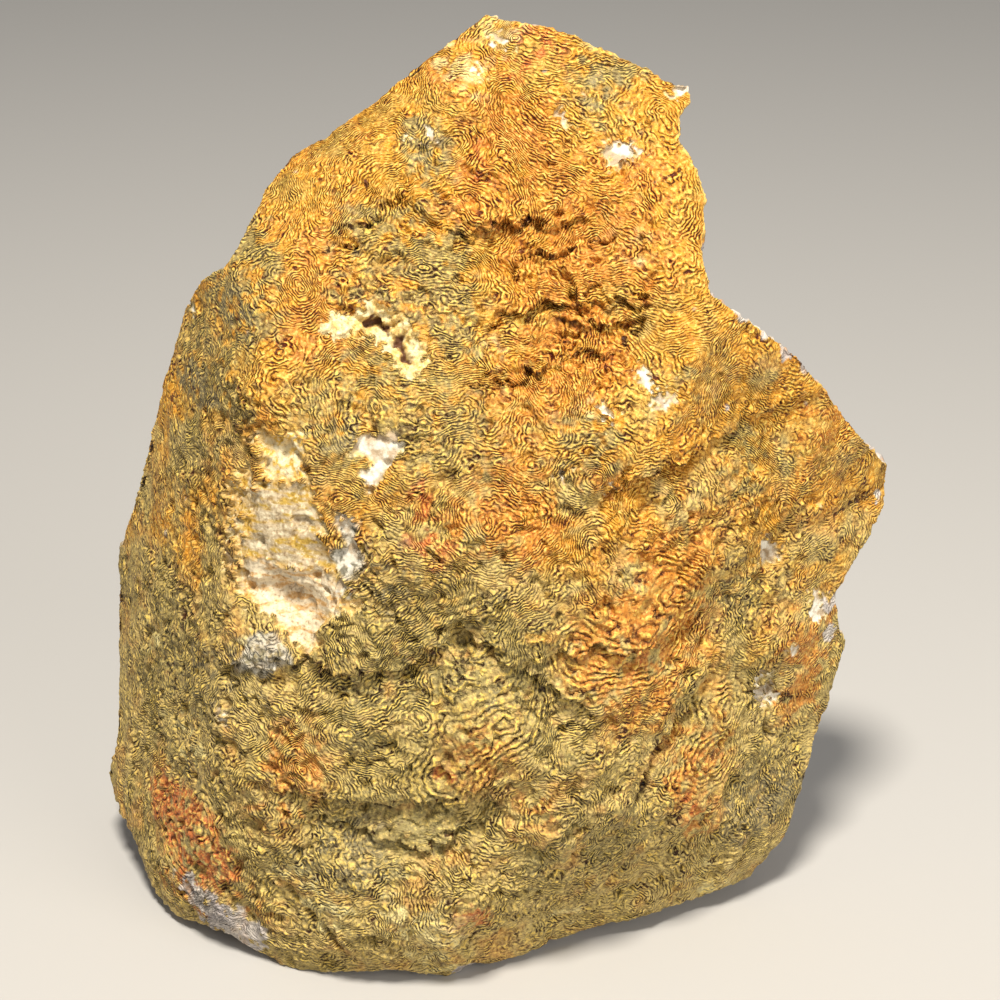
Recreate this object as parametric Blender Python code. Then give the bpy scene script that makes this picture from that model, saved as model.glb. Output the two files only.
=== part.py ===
"""A broken wall piece of a geode, standing on its broken lower rim.

The rind, a thin wrinkled crust, is the bulging side at -Y. The broken quartz wall runs round
it, and the inner side at +Y is a shallow hollow lined with quartz points. It grew as one
piece, so it is one closed solid. Lengths are in millimetres until the mesh is made.
"""

import math
import random

import bmesh
import bpy
import numpy as np
from mathutils import Matrix, Vector, noise

MM = 0.001

# The crust's broken edge, as seen along +Y, in (x, z), anticlockwise from the lower left corner.
LOWER_EDGE = [
    (-76, 3), (-70, 2.5), (-59, 4.5), (-53.5, 3), (-46, 0), (-33, 1), (-23, 4), (-16, 2),
    (-10.5, 0), (-5, 1.5), (0, 1.5), (10, 2), (21.5, 3.5), (32, 3.5), (40.5, 4), (48.5, 5), (55.5, 4),
]
RIGHT_EDGE = [
    (59, 10), (63, 14), (64, 20), (66, 27), (68, 35), (71.5, 43), (72.3, 52), (74, 58), (71.8, 65),
    (71.3, 71), (75, 77), (79, 82), (82, 87), (82.8, 96), (78, 103), (69, 115), (63, 124), (57, 132),
]
UPPER_EDGE = [
    (53.5, 135), (46, 141.5), (41, 145.5), (40.5, 148.5), (39.3, 152.5), (40.4, 162), (38, 167),
    (35.5, 170), (34.8, 174), (37, 177), (37, 180), (32.5, 181.5), (27, 184), (20.5, 186.5),
    (16.5, 188.5), (11, 190.5), (5, 191), (-0.5, 192), (-5, 190.5), (-12.5, 185), (-19, 180),
    (-24, 176), (-31, 172), (-36.5, 168), (-42, 165), (-46, 160.5),
]
LEFT_EDGE = [
    (-50, 154), (-52, 150), (-60.5, 141.5), (-64.5, 133.5), (-67, 125.5), (-71.7, 112), (-75, 99),
    (-79.5, 84), (-83.8, 72), (-84.6, 60), (-85.6, 47), (-85.2, 40), (-86.5, 26), (-89.5, 17),
    (-86, 12), (-82, 11), (-79, 8),
]
EDGE_CENTRE = (-2.0, 88.0)

# The rind is the far side of all these planes, y = c + a x + b z, with its corners rounded.
RIND_PLANES = {
    "face": (-58.0, 0.06, 0.10),
    "left_face": (-61.5, -0.22, 0.10),
    "upper": (-121.6, 0.0, 0.675),
    "flank": (-163.9, -1.85, 0.33),
    "shoulder": (-334.0, -1.04, 1.78),
    "right": (-67.6, 0.80, 0.05),
    "lower_right": (-41.4, 0.52, -0.40),
    "lower_left": (-69.4, -0.62, -0.25),
    "toe": (-46.5, 0.05, -0.45),
}
RIND_ROUNDING = 3.0

# Low domes of the rind: x, z, radius, height.
DOMES = [
    (32, 85, 14, 3.5), (25, 73, 11, 2.4), (-49, 128, 9, 2.4), (7, 130, 9, 2.0), (18, 115, 8, 1.8),
    (36, 38, 9, 2.3), (23, 41, 7, 2.2), (-9, 177, 9, 2.4), (46, 54, 9, 2.2), (62, 68, 8, 2.0),
    (-42, 147, 9, 2.7), (-9, 160, 10, 2.2), (-6, 66, 11, 2.2), (-38, 50, 12, 2.2), (-66, 30, 9, 2.4),
    (42, 92, 9, 1.9), (-8, 24, 8, 2.0), (60, 100, 12, 2.4), (-14, 98, 12, 2.0), (24, 160, 12, 2.2),
]
# Places where a piece of the rind has come off: x, z, half width, half height, turn, depth.
SPALLS = [
    (-43, 103, 11, 20, 12, 3.0),
    (-42, 84, 11, 7, -15, 3.2),
    (-24, 118, 7, 4, 10, 2.1),
    (-29, 101, 4, 5, 0, 2.1),
    (-20, 39, 17, 8, -4, 2.3),
    (-52, 136, 6, 7, 0, 2.8),
    (55, 86, 5, 3, 0, 1.4),
    (57, 56, 5, 4, 60, 1.6),
]
SPALL_LIP = (0.78, 1.05)
SPALL_WANDER = 0.22
# Ledges of the rind: the drop, how far it reaches, and the points, left to right, above the drop.
LEDGES = [
    (3.2, 7, [(-34, 47), (-24, 45.5), (-14, 48), (-4, 50)]),
    (3.0, 6, [(-50, 73), (-40, 76), (-32, 74.5), (-20, 76), (-11, 83)]),
    (2.5, 6, [(0, 79), (6, 75), (12, 70)]),
    (2.5, 6, [(6, 142), (11, 144), (17, 140), (24, 144), (29, 144)]),
    (2.2, 5, [(-3, 156), (7, 157)]),
    (2.3, 6, [(27, 113), (37, 115), (47, 118), (59, 119)]),
    (2.1, 5, [(15, 79), (25, 78), (31, 78)]),
    (2.0, 5, [(2, 131), (10, 133), (18, 137)]),
]
LEDGE_STEP = 1.6
LEDGE_LIP = 0.3
# Grooves of the rind: depth, half width and the points.
GROOVES = [
    (2.6, 2.2, [(41, 58), (38, 55.5), (33, 51.5), (31, 46), (29, 41)]),
    (2.8, 2.0, [(-24, 140.5), (-19, 137), (-16, 134.5)]),
    (1.6, 1.8, [(49, 61), (55, 54), (64, 49)]),
    (1.6, 2.0, [(69, 88), (76, 91), (82, 91)]),
    (2.2, 2.0, [(-27, 164), (-25, 162)]),
    (1.6, 2.0, [(-70, 112), (-74, 92), (-76, 66), (-77, 46)]),
]
# Broken quartz that stands proud behind the rind's edge: x, z, reach, height.
PROUD_QUARTZ = [
    (44, 144, 9, 1.6), (55, 134, 6, 1.0), (66, 120, 9, 1.2), (73, 60, 11, 1.6),
    (-60, 4, 12, 1.4), (-12, 1, 8, 1.0), (37, 179, 5, 1.2),
]

LUMP_SIZE = 21.0
LUMP_HEIGHT = 2.6
CHIP_SIZE = 6.5
CHIP_HEIGHT = 1.4
BREAK_SIZE = 17.0
BREAK_HEIGHT = 2.6
SPLIT_SIZE = 9.0
SPLIT_HEIGHT = 1.6

# The wall leans in towards the inner side by this share of its thickness, and more at the top.
INSET = 0.20
INSET_ABOVE = 0.50
BACK_DEPTH = 30.0
BACK_TURN = -0.14
HOLLOW_REACH = 0.82
HOLLOW_DEPTH = 43.0
LEAST_WALL = 15.0
HOLLOW_LIFT = 0.10
HOLLOW_CURVE = 0.75
HOLLOW_ROUGHNESS = 0.7

SHEET_CELLS = 96
WALL_STEPS = 14
BODY_TRIANGLES = 4800

CRYSTALS = 100
CRYSTAL_RADIUS = (5.0, 9.0)
CRYSTAL_REACH = 0.93
CRYSTAL_STANDS = (-0.5, 4.0)
CRYSTAL_ROOT = 7.0
CRYSTAL_TILT = 17.0
TIP_SLOPE = 1.27
GOLDEN_ANGLE = math.pi * (3 - math.sqrt(5))

UNDERSIDE_LIFT = 3.2
RESTING_SAG = 6.6
RESTING_SPOT = (-12.0, -10.0, 27.0, 25.0)

FRAME_SHIFT = (3.455, 12.211, 0.0)


def smooth_step(low, high, value):
    t = np.clip((value - low) / (high - low), 0.0, 1.0)
    return t * t * (3.0 - 2.0 * t)


def rough(x, y, z, size, octaves, seed):
    """Fractal noise of about -1 to 1 at each point, with lumps of the given size."""
    points = np.stack(np.broadcast_arrays(x, y, z), axis=-1).reshape(-1, 3) / size + seed * 17.3
    values = [noise.fractal(Vector(p), 0.9, 2.1, octaves) for p in points]
    return np.array(values).reshape(np.shape(x))


def distance_to_line(x, z, points):
    """Distance to a line of points, and how far below the line each place lies."""
    nearest = np.full(np.shape(x), 1e9)
    below = np.zeros(np.shape(x))
    for (ax, az), (bx, bz) in zip(points[:-1], points[1:]):
        run = math.hypot(bx - ax, bz - az)
        ux, uz = (bx - ax) / run, (bz - az) / run
        along = np.clip((x - ax) * ux + (z - az) * uz, 0.0, run)
        dx, dz = x - ax - along * ux, z - az - along * uz
        distance = np.hypot(dx, dz)
        closer = distance < nearest
        nearest = np.where(closer, distance, nearest)
        below = np.where(closer, dx * uz - dz * ux, below)
    return nearest, below


def rind_form(x, z):
    """y of the smooth rind."""
    planes = np.stack([c + a * x + b * z for c, a, b in RIND_PLANES.values()])
    most = planes.max(axis=0)
    return most + RIND_ROUNDING * np.log(np.exp((planes - most) / RIND_ROUNDING).sum(axis=0))


def rind_relief(x, z):
    """How far the lumps, ledges and pits stand out of the smooth rind, towards -Y."""
    height = LUMP_HEIGHT * rough(x, 0 * x, z, LUMP_SIZE, 3, 1)
    height += CHIP_HEIGHT * rough(x, 0 * x, z, CHIP_SIZE, 2, 2)
    for cx, cz, radius, rise in DOMES:
        height += rise * np.clip(1 - ((x - cx) ** 2 + (z - cz) ** 2) / radius**2, 0, 1) ** 1.5
    wander = SPALL_WANDER * rough(x, 0 * x, z, SPLIT_SIZE, 2, 3)
    for cx, cz, half_width, half_height, turn, depth in SPALLS:
        c, s = math.cos(math.radians(turn)), math.sin(math.radians(turn))
        across = ((x - cx) * c + (z - cz) * s) / half_width
        up = ((z - cz) * c - (x - cx) * s) / half_height
        height -= depth * (1 - smooth_step(*SPALL_LIP, np.hypot(across, up) + wander))
    for drop, reach, points in LEDGES:
        distance, below = distance_to_line(x, z, points)
        under = smooth_step(0.0, LEDGE_STEP, below) * np.exp(-np.maximum(below, 0) / reach)
        height -= drop * under * (1 - smooth_step(0.6, 1.0, distance / (2.2 * reach)))
        height += LEDGE_LIP * drop * np.exp(-((distance / 2.5) ** 2)) * (below < 0)
    for depth, half_width, points in GROOVES:
        distance, _ = distance_to_line(x, z, points)
        height -= depth * np.exp(-((distance / half_width) ** 2))
    return height


def rind_y(x, z):
    return rind_form(x, z) - rind_relief(x, z)


def edge_points(count):
    """Points evenly spaced along the rind's edge, and the outward direction at each."""
    corners = np.array(LOWER_EDGE + RIGHT_EDGE + UPPER_EDGE + LEFT_EDGE + LOWER_EDGE[:1], float)
    sides = [len(LOWER_EDGE), len(RIGHT_EDGE), len(UPPER_EDGE), len(LEFT_EDGE)]
    found = []
    start = 0
    for side in sides:
        part = corners[start : start + side + 1]
        run = np.concatenate([[0], np.cumsum(np.hypot(*np.diff(part, axis=0).T))])
        at = np.arange(count // 4) / (count // 4) * run[-1]
        found.append(np.stack([np.interp(at, run, part[:, 0]), np.interp(at, run, part[:, 1])], axis=1))
        start += side
    points = np.concatenate(found)
    ahead = np.roll(points, -6, axis=0) - np.roll(points, 6, axis=0)
    outward = np.stack([ahead[:, 1], -ahead[:, 0]], axis=1)
    return points, outward / np.linalg.norm(outward, axis=1, keepdims=True)


def square_to_disc(cells):
    """For each corner of a square grid, its ring from 0 to 1 and its place along the edge."""
    steps = np.linspace(-1, 1, cells + 1)
    a, b = np.meshgrid(steps, steps, indexing="ij")
    ring = np.maximum(abs(a), abs(b))
    safe = np.where(ring == 0, 1, ring)
    a, b = a / safe, b / safe
    along = np.select(
        [b <= -1 + 1e-9, a >= 1 - 1e-9, b >= 1 - 1e-9],
        [(a + 1) / 2, 1 + (b + 1) / 2, 2 + (1 - a) / 2],
        3 + (1 - b) / 2,
    )
    return ring, np.round(along * cells, 6) % (4 * cells)


def at_edge(values, along):
    """Values given at each edge point, read between them."""
    low = np.floor(along).astype(int)
    part = (along - low)[..., None]
    return values[low % len(values)] * (1 - part) + values[(low + 1) % len(values)] * part


def back_form(x, z):
    """y of the broken inner side, before the hollow."""
    return BACK_DEPTH + BACK_TURN * np.maximum(x, 0) - 0.02 * abs(z - 90)


def broken_relief(x, y, z):
    """Height of broken quartz: shallow curved flakes that meet at low ridges."""
    flakes = 1 - 2 * abs(rough(x, y, z, SPLIT_SIZE, 2, 6))
    return BREAK_HEIGHT * rough(x, y, z, BREAK_SIZE, 3, 4) + SPLIT_HEIGHT * (flakes - 0.6)


def broken_wall(edge, outward):
    """Loops of points from the rind's edge to the inner side's edge."""
    x, z = edge.T
    front = rind_y(x, z)
    thickness = back_form(x, z) - front
    up = outward[:, 1]
    inset = thickness * np.where(up > 0, INSET + INSET_ABOVE * up, INSET * (1 + up))
    proud = sum(h * np.exp(-(((x - px) ** 2 + (z - pz) ** 2) / r**2)) for px, pz, r, h in PROUD_QUARTZ)
    loops = []
    for step in range(WALL_STEPS + 1):
        t = step / WALL_STEPS
        y = front + t * thickness
        chip = broken_relief(x, y, z) * min(1.0, 4 * t)
        lip = proud * math.sin(math.pi * min(1.0, 4 * t)) if t < 0.25 else 0
        out = chip + lip - inset * t
        px, pz = x + outward[:, 0] * out, z + outward[:, 1] * out
        sx, sy, rx, ry = RESTING_SPOT
        spot = np.exp(-(((px - sx) / rx) ** 2) - ((y - sy) / ry) ** 2)
        under = smooth_step(0.4, 0.8, -up)
        pz = pz + under * (UNDERSIDE_LIFT * math.sin(math.pi * t) - RESTING_SAG * spot * min(1.0, 6 * t))
        loops.append(np.stack([px, y, pz], axis=1))
    return loops


def sheet(ring, along, rim, depth_at):
    """A sheet inside a rim of points, whose depth follows a formula and meets the rim."""
    centre = np.array([EDGE_CENTRE[0], 0.0, EDGE_CENTRE[1]])
    edge = at_edge(rim, along)
    points = centre + ring[..., None] * (edge - centre)
    form = depth_at(points[..., 0], points[..., 2], ring)
    form_at_edge = depth_at(edge[..., 0], edge[..., 2], np.ones_like(ring))
    points[..., 1] = form + (edge[..., 1] - form_at_edge) * ring**8
    return points


def hollow_y(x, z, ring):
    """y of the inner side: a broken rim round a hollow."""
    inside = np.clip(1 - (ring / HOLLOW_REACH) ** 2, 0, 1) ** HOLLOW_CURVE
    y = back_form(x, z) - HOLLOW_DEPTH * inside * (1 + HOLLOW_LIFT * (z - 88) / 88)
    y = np.maximum(y, rind_form(x, z) + LEAST_WALL)
    return y + HOLLOW_ROUGHNESS * broken_relief(x, 0 * x, z)


def stone_points():
    """The body's points and four-sided faces."""
    ring, along = square_to_disc(SHEET_CELLS)
    edge, outward = edge_points(4 * SHEET_CELLS)
    loops = broken_wall(edge, outward)
    front = sheet(ring, along, loops[0], lambda x, z, r: rind_y(x, z))
    back = sheet(ring, along, loops[-1], hollow_y)
    cells, side = SHEET_CELLS, SHEET_CELLS + 1
    number = np.arange(side * side).reshape(side, side)
    corners = np.stack([number[:-1, :-1], number[1:, :-1], number[1:, 1:], number[:-1, 1:]], axis=-1)
    front_faces = corners.reshape(-1, 4)
    back_faces = front_faces[:, ::-1] + side * side
    rim = np.zeros(4 * cells, int)
    on_rim = ring.reshape(-1) > 1 - 1e-9
    rim[np.round(along.reshape(-1)[on_rim]).astype(int)] = number.reshape(-1)[on_rim]
    points = [front.reshape(-1, 3), back.reshape(-1, 3)]
    total = 2 * side * side
    rows = [rim]
    for loop in loops[1:-1]:
        rows.append(total + np.arange(4 * cells))
        points.append(loop)
        total += 4 * cells
    rows.append(rim + side * side)
    walls = [
        np.stack([near, far, np.roll(far, -1), np.roll(near, -1)], axis=1)
        for near, far in zip(rows[:-1], rows[1:])
    ]
    return np.concatenate(points), np.concatenate([front_faces, back_faces] + walls), back


def mesh_object(name, points, faces):
    """An object made of points in millimetres, shifted to the part's own frame."""
    mesh = bpy.data.meshes.new(name)
    placed = (np.asarray(points) + FRAME_SHIFT) * MM
    mesh.from_pydata(placed.tolist(), [], [[int(i) for i in face] for face in faces])
    mesh.validate()
    made = bpy.data.objects.new(name, mesh)
    bpy.context.scene.collection.objects.link(made)
    return made


def hide_helper(helper):
    helper.hide_render = True
    helper.display_type = "WIRE"


def quartz_point(radius, stands, root):
    """A six-sided quartz point along +Z, its root below z = 0."""
    turns = [math.radians(60 * k) for k in range(6)]
    ring = [(radius * math.cos(a), radius * math.sin(a)) for a in turns]
    points = [(0.7 * x, 0.7 * y, -root) for x, y in ring] + [(x, y, stands) for x, y in ring]
    tip = stands + TIP_SLOPE * radius * math.cos(math.radians(30))
    points.append((0.08 * radius, 0, tip))
    faces = [tuple(reversed(range(6)))]
    faces += [(k, (k + 1) % 6, 6 + (k + 1) % 6, 6 + k) for k in range(6)]
    faces += [(6 + k, 6 + (k + 1) % 6, 12) for k in range(6)]
    return points, faces


def sheet_place(r, q):
    """Row and column of a sheet's point at ring r and q quarters round its edge."""
    side = int(q) % 4
    t = 2 * (q - int(q)) - 1
    a, b = [(t, -1), (1, t), (-t, 1), (-1, -t)][side]
    return round((a * r + 1) / 2 * SHEET_CELLS), round((b * r + 1) / 2 * SHEET_CELLS)


def hollow_crystals(back):
    """Quartz points over the hollow, spread by the golden angle, each along the hollow's normal."""
    chance = random.Random(11)
    normals = np.cross(np.gradient(back, axis=1), np.gradient(back, axis=0))
    normals /= np.linalg.norm(normals, axis=-1, keepdims=True) + 1e-9
    lean = math.tan(math.radians(CRYSTAL_TILT))
    points, faces = [], []
    for k in range(CRYSTALS):
        r = CRYSTAL_REACH * HOLLOW_REACH * math.sqrt((k + 0.5) / CRYSTALS)
        place = sheet_place(r, k * GOLDEN_ANGLE / (math.pi / 2) % 4)
        size = chance.uniform(0, 1) ** 1.6
        radius = CRYSTAL_RADIUS[0] + size * (CRYSTAL_RADIUS[1] - CRYSTAL_RADIUS[0])
        stands = chance.uniform(*CRYSTAL_STANDS)
        axis = Vector(normals[place]) + Vector([lean * chance.uniform(-1, 1) for _ in range(3)])
        spin = Matrix.Rotation(chance.uniform(0, math.pi / 3), 4, "Z")
        turn = axis.to_track_quat("Z", "Y").to_matrix().to_4x4() @ spin
        local, sides = quartz_point(radius, stands, CRYSTAL_ROOT)
        faces += [tuple(len(points) + i for i in side) for side in sides]
        points += [tuple(Matrix.Translation(Vector(back[place])) @ turn @ Vector(p)) for p in local]
    return points, faces


def box_below_floor():
    """A block under z = 0, which cuts the flat resting spot."""
    x, y, deep = 130.0, 90.0, 30.0
    points = [(sx * x, sy * y, z) for z in (-deep, 0.0) for sy in (-1, 1) for sx in (-1, 1)]
    faces = [(0, 2, 3, 1), (4, 5, 7, 6), (0, 1, 5, 4), (2, 6, 7, 3), (0, 4, 6, 2), (1, 3, 7, 5)]
    return points, faces


def stone_material():
    material = bpy.data.materials.new("weathered_rind_and_quartz")
    material.use_nodes = True
    shader = material.node_tree.nodes["Principled BSDF"]
    shader.inputs["Base Color"].default_value = (0.38, 0.25, 0.09, 1.0)
    shader.inputs["Roughness"].default_value = 0.75
    shader.inputs["Metallic"].default_value = 0.0
    return material


def add_boolean(target, cutter, operation):
    step = target.modifiers.new(cutter.name, "BOOLEAN")
    step.object = cutter
    step.operation = operation
    step.solver = "EXACT"
    step.use_self = operation == "UNION"
    hide_helper(cutter)


def outer_shell(stone):
    """Applies the modifiers and keeps the outer surface, without sealed gaps between crystals."""
    bpy.context.view_layer.update()
    made = bpy.data.meshes.new_from_object(stone.evaluated_get(bpy.context.evaluated_depsgraph_get()))
    stone.modifiers.clear()
    stone.data = made
    shape = bmesh.new()
    shape.from_mesh(made)
    unseen = set(shape.faces)
    shells = []
    while unseen:
        start = unseen.pop()
        shell, waiting = [start], [start]
        while waiting:
            for edge in waiting.pop().edges:
                for face in edge.link_faces if len(edge.link_faces) == 2 else []:
                    if face in unseen:
                        unseen.remove(face)
                        shell.append(face)
                        waiting.append(face)
        shells.append(shell)
    shells.sort(key=len)
    inner = [face for shell in shells[:-1] for face in shell]
    bmesh.ops.delete(shape, geom=inner, context="FACES")
    shape.to_mesh(made)
    shape.free()


def build():
    for old in list(bpy.data.objects):
        bpy.data.objects.remove(old)
    points, faces, back = stone_points()
    stone = mesh_object("geode", points, faces)
    stone.data.materials.append(stone_material())
    thin = stone.modifiers.new("fewer_faces", "DECIMATE")
    thin.decimate_type = "COLLAPSE"
    thin.ratio = BODY_TRIANGLES / (2 * len(faces))
    thin.use_collapse_triangulate = True
    add_boolean(stone, mesh_object("quartz_points", *hollow_crystals(back)), "UNION")
    add_boolean(stone, mesh_object("floor_block", *box_below_floor()), "DIFFERENCE")
    outer_shell(stone)


build()
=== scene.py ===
"""A broken wall piece of a geode: wrinkled ochre rind, broken quartz wall and quartz points."""

import math

import bpy
import numpy as np
from bpy.props import FloatProperty, FloatVectorProperty, IntProperty, PointerProperty
from mathutils import Matrix, Vector
from mathutils.bvhtree import BVHTree
from mathutils.kdtree import KDTree


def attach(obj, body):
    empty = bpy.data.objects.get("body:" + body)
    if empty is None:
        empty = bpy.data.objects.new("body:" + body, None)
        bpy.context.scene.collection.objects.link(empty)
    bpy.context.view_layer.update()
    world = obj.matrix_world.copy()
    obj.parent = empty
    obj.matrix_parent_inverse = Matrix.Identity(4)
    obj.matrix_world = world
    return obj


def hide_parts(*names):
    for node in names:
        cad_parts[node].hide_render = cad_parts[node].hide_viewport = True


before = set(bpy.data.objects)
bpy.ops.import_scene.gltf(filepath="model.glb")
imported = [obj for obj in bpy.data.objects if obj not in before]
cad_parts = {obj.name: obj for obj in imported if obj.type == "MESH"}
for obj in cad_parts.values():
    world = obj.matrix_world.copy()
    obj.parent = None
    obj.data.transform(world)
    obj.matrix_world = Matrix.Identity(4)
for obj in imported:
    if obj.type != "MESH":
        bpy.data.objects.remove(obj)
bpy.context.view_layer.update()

bl_info = {
    "name": "Geode",
    "version": (1, 0, 0),
    "blender": (4, 5, 0),
    "location": "3D View > Sidebar > Geode",
    "description": "Models a wrinkled geode piece and its studio",
    "category": "Add Mesh",
}

MM = 0.001
NODE = "geode"

# The rind is the far side of all these planes, y = c + a x + b z, in mm, as in the part's source.
RIND_PLANES = [
    (-58.0, 0.06, 0.10), (-61.5, -0.22, 0.10), (-121.6, 0.0, 0.675), (-163.9, -1.85, 0.33),
    (-334.0, -1.04, 1.78), (-67.6, 0.80, 0.05), (-41.4, 0.52, -0.40), (-69.4, -0.62, -0.25),
    (-46.5, 0.05, -0.45),
]
RIND_ROUNDING = 3.0
# The face's own frame, in which the places below are given, lies this far from the part's, in mm.
FACE_SHIFT = (3.455, 12.211, 0.0)

# Whorls and flow lines that the wrinkles run round: (x, z) to (x, z) and the spacing, in mm.
WHORLS = [
    (-9, 178, -9, 178, 1.05), (-14, 171, -12, 170, 1.0), (-8, 160, -6, 160, 1.1), (-49, 128, -49, 129, 1.15),
    (-42, 147, -41, 146, 1.05), (7, 130, 7, 131, 1.1), (0, 107, 2, 108, 1.05), (18, 115, 18, 116, 1.1),
    (32, 106, 33, 107, 1.1), (30, 88, 35, 84, 2.3), (19, 77.5, 30, 76.8, 2.4), (46, 55, 46, 56, 1.8),
    (42, 47, 44, 46, 1.8), (62, 68, 62, 69, 1.2), (36, 38, 36, 39, 1.25), (24, 40, 24, 41, 1.2),
    (43, 90, 43, 93, 1.2), (-67, 26, -64, 32, 1.9), (-7, 22, -6, 24, 1.3), (8, 42, 9, 43, 1.15),
    (72, 49, 72, 52, 1.2), (-10, 55, -1, 69, 2.5), (-40, 50, -36, 48, 1.1), (-4, 32, 28, 30, 1.05),
    (-30, 126, -6, 124, 1.0), (2, 72, 12, 88, 1.1), (-62, 54, -46, 40, 1.1), (2, 176, 22, 166, 1.0),
    (16, 152, 36, 153, 1.0), (4, 188, 22, 184, 1.0), (30, 176, 34, 160, 1.05), (-36, 158, -24, 168, 1.0),
    (-30, 146, -4, 147, 1.0), (-26, 84, -16, 92, 1.0), (48, 122, 62, 112, 1.05), (60, 96, 76, 96, 1.05),
    (54, 78, 70, 80, 1.1), (-30, 62, -18, 64, 1.0), (50, 24, 54, 34, 1.1), (-44, 18, -26, 16, 1.05),
    (12, 14, 30, 12, 1.05), (-78, 50, -76, 90, 1.1), (-68, 60, -64, 104, 1.1), (-66, 112, -58, 130, 1.1),
    (-24, 34, -10, 33, 1.3), (20, 98, 26, 94, 1.1), (-56, 66, -52, 58, 1.05),
]


def linear(code):
    """The linear colour of an sRGB hex code."""
    parts = [int(code[i : i + 2], 16) / 255 for i in (1, 3, 5)]
    return tuple(c / 12.92 if c <= 0.04045 else ((c + 0.055) / 1.055) ** 2.4 for c in parts) + (1.0,)


def settings():
    return bpy.context.scene.geode


class GeodeSettings(bpy.types.PropertyGroup):
    """The sizes and the colour that a user would change"""

    rind_voxel: FloatProperty(
        name="Rind grain", description="Mesh size of the fine rind", default=0.00037, unit="LENGTH"
    )
    wrinkle_height: FloatProperty(
        name="Wrinkle height", description="Height of the rind's wrinkles", default=0.00034, unit="LENGTH"
    )
    ledge_height: FloatProperty(
        name="Ledge height", description="Drop at the rind's flaked ledges", default=0.0009, unit="LENGTH"
    )
    small_points: IntProperty(
        name="Small points", description="Small quartz points between the large ones", default=900, min=1
    )
    floor_colour: FloatVectorProperty(
        name="Floor", description="Colour of the studio floor", default=linear("#B4B2AF")[:3], subtype="COLOR"
    )


def smooth(low, high, value):
    """0 at low, 1 at high and an even rise between them."""
    t = np.clip((value - low) / (high - low), 0.0, 1.0)
    return t * t * (3.0 - 2.0 * t)


def waves(points, size, seed, count=28):
    """Smooth noise of about unit strength, with lumps of the given size in mm: a sum of plane waves."""
    chance = np.random.default_rng(seed)
    turns = chance.normal(size=(count, 3))
    turns /= np.linalg.norm(turns, axis=1, keepdims=True)
    rates = 2 * math.pi / size * chance.uniform(0.55, 1.35, count)
    starts = chance.uniform(0, 2 * math.pi, count)
    angles = points @ (turns * rates[:, None]).T.astype(np.float32) + starts.astype(np.float32)
    return np.cos(angles).sum(axis=1) * math.sqrt(2 / count)


def layered(points, size, seed, layers=3, fade=0.55):
    """Noise with finer and weaker layers on it."""
    return sum(waves(points, size / 2.1**k, seed + k) * fade**k for k in range(layers))


def rind_form(x, z):
    """y of the smooth rind and its slopes along x and z, in the face's frame."""
    planes = np.array(RIND_PLANES)
    values = planes[:, :1] + planes[:, 1:2] * np.ravel(x) + planes[:, 2:] * np.ravel(z)
    most = values.max(axis=0)
    parts = np.exp((values - most) / RIND_ROUNDING)
    total = parts.sum(axis=0)
    slope_x = (parts * planes[:, 1:2]).sum(axis=0) / total
    slope_z = (parts * planes[:, 2:]).sum(axis=0) / total
    return most + RIND_ROUNDING * np.log(total), slope_x, slope_z


def near_line(x, z, points):
    """Distance to a line of points, and how far below it a place lies."""
    nearest = np.full(x.shape, 1e9)
    below = np.zeros(x.shape)
    for (ax, az), (bx, bz) in zip(points[:-1], points[1:]):
        run = math.hypot(bx - ax, bz - az)
        ux, uz = (bx - ax) / run, (bz - az) / run
        along = np.clip((x - ax) * ux + (z - az) * uz, 0.0, run)
        dx, dz = x - ax - along * ux, z - az - along * uz
        distance = np.hypot(dx, dz)
        closer = distance < nearest
        nearest = np.where(closer, distance, nearest)
        below = np.where(closer, dx * uz - dz * ux, below)
    return nearest, below


def inside_outline(x, z, points):
    """Distance inside a closed outline, below 0 outside it."""
    closed = list(points) + [points[0]]
    distance, _ = near_line(x, z, closed)
    crossings = np.zeros(x.shape, int)
    for (ax, az), (bx, bz) in zip(closed[:-1], closed[1:]):
        spans = (az > z) != (bz > z)
        crossings += spans & (x < (bx - ax) * (z - az) / ((bz - az) or 1e-9) + ax)
    return np.where(crossings % 2 == 1, distance, -distance)


def blobs(x, z, places):
    """Soft round patches: x, z, radius and strength of each."""
    return sum(s * np.exp(-(((x - cx) ** 2 + (z - cz) ** 2) / r**2)) for cx, cz, r, s in places)


# Patches of the face where the rind has spalled off the quartz, as outlines of x and z in mm.
SPALL_TOP = [
    (-47, 120.3), (-41.8, 120.8), (-36.9, 121.1), (-37.3, 117.3), (-36.6, 113.2), (-39.3, 112.4),
    (-42.6, 113.1), (-46.1, 111.7), (-47.5, 113.2), (-47.7, 116.9),
]
SPALL_MIDDLE = [
    (-47.5, 113.2), (-42.6, 113.1), (-36.6, 113.2), (-35.9, 109), (-34.8, 104.3), (-34, 98.8), (-31.7, 94.1),
    (-37.1, 93.6), (-42.5, 93.1), (-48, 94.2), (-53.4, 92.6), (-55.1, 97.9), (-53.6, 102.5), (-51.9, 107.4),
]
SPALL_LOW = [
    (-54.3, 93.6), (-47.9, 95.6), (-42.5, 93.8), (-34.3, 95.3), (-30.4, 92.1), (-27.7, 89.1), (-31.2, 85.3),
    (-35.3, 82.4), (-37.4, 80), (-40.3, 76.1), (-42.3, 78), (-45.5, 82.7), (-50.4, 85.7), (-54.3, 88),
]
WHITE_PATCH = [
    (-29.6, 118.7), (-27.3, 121.2), (-24.7, 121.6), (-19.3, 121.3), (-19.6, 118.4), (-21.4, 116.9),
    (-23.4, 116), (-24.4, 114.1), (-26.6, 111.2), (-28, 113.7), (-26.3, 116.2), (-27.3, 118.2),
]
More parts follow.
